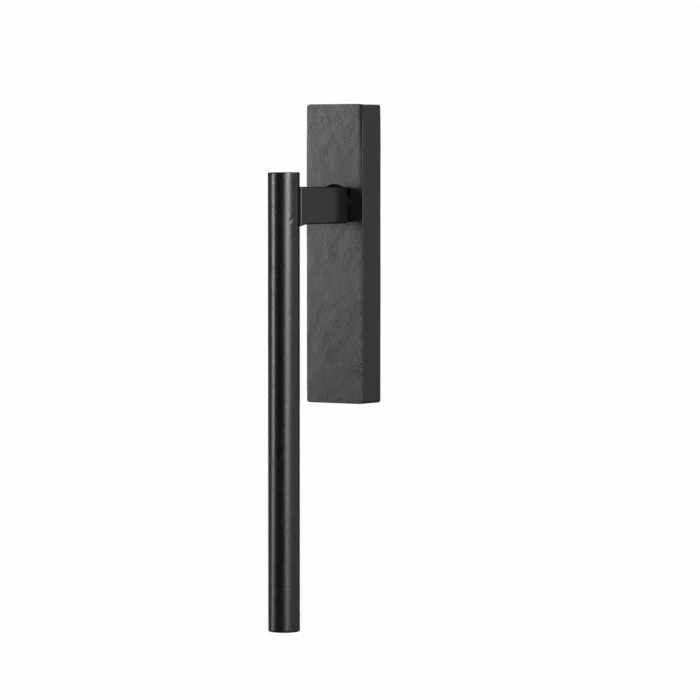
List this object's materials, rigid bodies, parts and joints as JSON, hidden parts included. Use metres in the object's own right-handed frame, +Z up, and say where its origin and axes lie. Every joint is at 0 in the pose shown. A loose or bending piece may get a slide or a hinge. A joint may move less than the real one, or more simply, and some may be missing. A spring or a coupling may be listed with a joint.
{
  "type": "lift-and-slide sash lever handle",
  "caption": "Black cast lever handle for a lift-and-slide sash: a long round grip bar on a square neck that turns a square spindle through a deep, narrow backplate.",
  "frame": {"origin": "where the spindle's axis crosses the mounting face, which is the back of the base plate", "axes": "+Z up along the backplate, +Y into the sash along the spindle, -Y out towards the hand, +X to the right seen from the front"},
  "size_m": [0.041, 0.1043, 0.3126],
  "materials": {
    "black_casting": "black semi-gloss coat over a fine raw-cast surface",
    "black_plastic": "black acetal",
    "white_plastic": "natural acetal",
    "zinc_casting": "dull grey zinc die casting",
    "zinc_plated_steel": "bright zinc plating",
    "ground_steel": "bare ground steel",
    "spring_steel": "blued spring steel",
    "black_steel": "black oxide"
  },
  "bodies": {
    "mount": {"escutcheon_cover": "black_casting", "base_plate": "zinc_casting", "front_bush": "black_plastic", "rear_bush": "white_plastic", "detent_springs": "spring_steel", "keeper_plate": "zinc_plated_steel", "keeper_screws": "zinc_plated_steel", "fixing_screws": "zinc_plated_steel", "cover_grub_screws": "black_steel", "spring_washer": "spring_steel"},
    "handle": {"neck": "black_casting", "grip_bar": "black_casting", "neck_screw": "zinc_plated_steel", "locating_pins": "ground_steel", "spindle": "ground_steel", "spindle_grub_screw": "black_steel", "detent_cam": "ground_steel", "retaining_washer": "zinc_plated_steel", "circlip": "black_steel"}
  },
  "joints": [
    {"name": "handle_turn", "type": "hinge", "parent": "mount", "child": "handle", "pos_m": [0, 0, 0], "axis": [0, 1, 0], "range_deg": [0, 180], "deforming": ["detent_springs"]}
  ]
}
